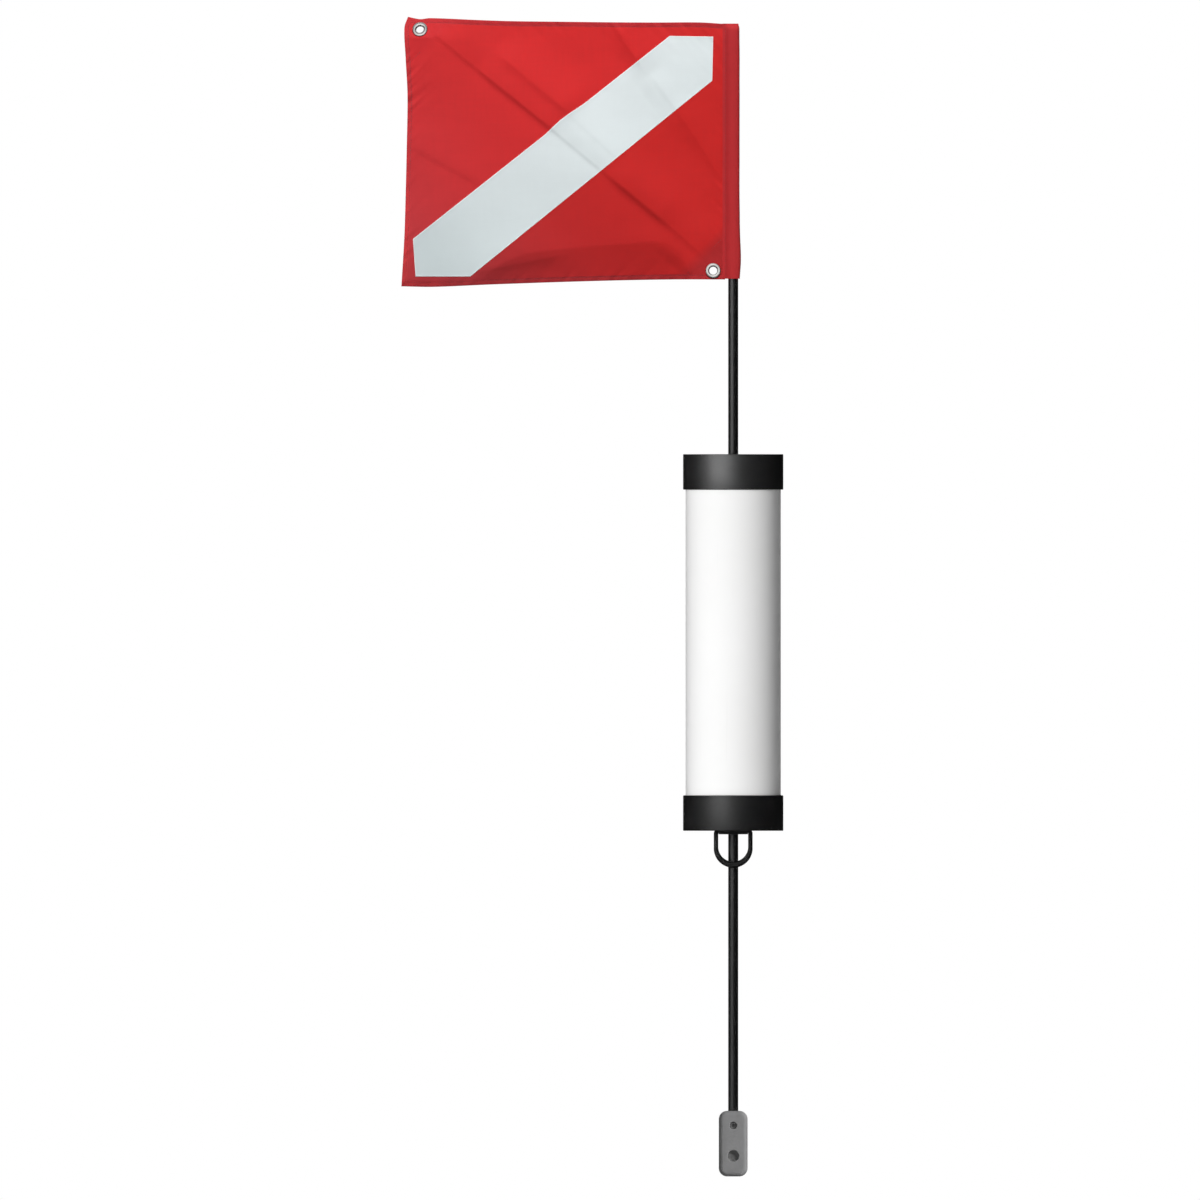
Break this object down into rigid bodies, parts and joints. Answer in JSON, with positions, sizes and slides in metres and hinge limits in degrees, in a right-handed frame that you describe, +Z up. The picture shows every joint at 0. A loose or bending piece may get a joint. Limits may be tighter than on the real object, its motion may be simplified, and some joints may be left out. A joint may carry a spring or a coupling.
{
  "type": "dive flag float",
  "caption": "Capped tube float on a long pole: a stiffened fabric flag turns on the pole's top, a tow ring hangs under the lower cap and a cast counterweight sits on the pole's foot.",
  "frame": {"origin": "on the common axis of the pole and the float, halfway between the end faces of the two caps", "axes": "+Z up along the pole, the flag flies towards -X, the tow ring and the weight's two holes face -Y"},
  "size_m": [0.4588, 0.1204, 1.393],
  "materials": {
    "flag_cloth": "matte",
    "stripe_cloth": "matte",
    "nickel": "gloss",
    "glass_fibre": "satin",
    "rubber": "matte",
    "pipe": "satin",
    "cap": "satin",
    "foam": "matte",
    "guide": "satin",
    "stainless": "satin",
    "ring_coating": "satin",
    "casting": "matte"
  },
  "bodies": {
    "float": {"pole": "glass_fibre", "pole_tip_cap": "rubber", "pole_foot_plug": "rubber", "float_tube": "pipe", "top_cap": "cap", "bottom_cap": "cap", "foam_core": "foam", "guide_tube": "guide", "top_bush": "rubber", "bottom_bush": "rubber", "upper_thrust_washer": "stainless", "lower_thrust_washer": "stainless", "upper_roll_pin": "stainless", "lower_roll_pin": "stainless", "ring_saddle": "ring_coating", "saddle_screw_1": "stainless", "saddle_screw_2": "stainless", "saddle_screw_3": "stainless", "saddle_screw_4": "stainless", "counterweight": "casting", "weight_set_screw": "stainless"},
    "flag": {"flag_field": "flag_cloth", "flag_stripe_front": "stripe_cloth", "flag_stripe_rear": "stripe_cloth", "corner_patch_upper": "flag_cloth", "corner_patch_lower": "flag_cloth", "grommet_upper_eyelet": "nickel", "grommet_upper_washer": "nickel", "grommet_lower_eyelet": "nickel", "grommet_lower_washer": "nickel", "flag_stiffener": "glass_fibre"},
    "tow_ring": {"tow_ring": "ring_coating"}
  },
  "joints": [
    {"name": "flag_swing", "type": "hinge", "parent": "float", "child": "flag", "pos_m": [0, 0, 0.7375], "axis": [0, 0, 1], "continuous": true},
    {"name": "tow_ring_swing", "type": "hinge", "parent": "float", "child": "tow_ring", "pos_m": [0, -0.012, -0.2262], "axis": [-1, 0, 0], "range_deg": [-2.5, 75]}
  ]
}
